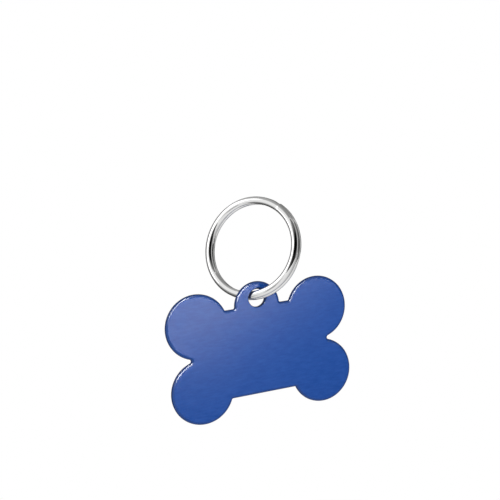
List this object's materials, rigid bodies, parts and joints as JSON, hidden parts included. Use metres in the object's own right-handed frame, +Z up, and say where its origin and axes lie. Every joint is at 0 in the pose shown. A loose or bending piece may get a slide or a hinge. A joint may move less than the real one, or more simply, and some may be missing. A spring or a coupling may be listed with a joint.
{
  "type": "bone-shaped pet tag",
  "caption": "Bone-shaped pet identity tag: a flat anodised aluminium blank with a hanging tab and hole, swinging on a wound wire split ring for a collar.",
  "frame": {"origin": "inside the top of the split ring, where a collar's loop bears", "axes": "+Z up as the tag hangs, +X to the right of the blank seen from its front, +Y from the blank's front to its back"},
  "size_m": [0.047, 0.0206, 0.0519],
  "materials": {
    "blue_anodised_aluminium": "satin brushed, dyed blue anodised, tumbled edges",
    "bright_nickel": "polished nickel plate on spring steel"
  },
  "bodies": {
    "ring": {"split_ring": "bright_nickel"},
    "tag": {"bone_blank": "blue_anodised_aluminium"}
  },
  "joints": [
    {"name": "tag_swing", "type": "hinge", "parent": "ring", "child": "tag", "pos_m": [-0.00445, -0.0061, -0.02099], "axis": [0.681, -0.7186, 0.1411], "range_deg": [-80, 58]}
  ]
}
